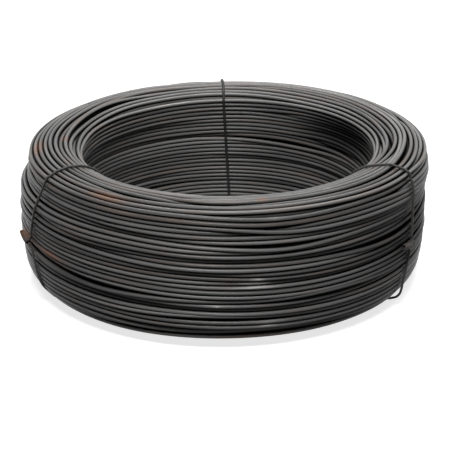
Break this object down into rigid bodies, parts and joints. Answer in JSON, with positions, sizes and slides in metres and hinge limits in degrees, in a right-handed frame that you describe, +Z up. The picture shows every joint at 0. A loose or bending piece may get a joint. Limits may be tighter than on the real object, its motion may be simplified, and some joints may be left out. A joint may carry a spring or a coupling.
{
  "type": "coil of wire rod",
  "caption": "Open-bored ring of dark wound wire rod with a rounded top and tapered foot, bound by thin twisted tie wires, lying flat as stock for drawing, tying or fencing.",
  "frame": {"origin": "on the axis of the bore at floor level, under the tie wires the coil lies on", "axes": "+Z up along the axis of the bore, -Y towards the viewer of the picture, +X to the viewer's right"},
  "size_m": [0.5178, 0.5252, 0.183],
  "materials": {
    "rod_steel": "dull dark mill scale with a few rust stains",
    "tie_steel": "dull annealed, rusty at the twists"
  },
  "bodies": {
    "root": {"wire_coil": "rod_steel", "tie_wire_back": "tie_steel", "tie_wire_left": "tie_steel", "tie_wire_right": "tie_steel"}
  },
  "joints": []
}
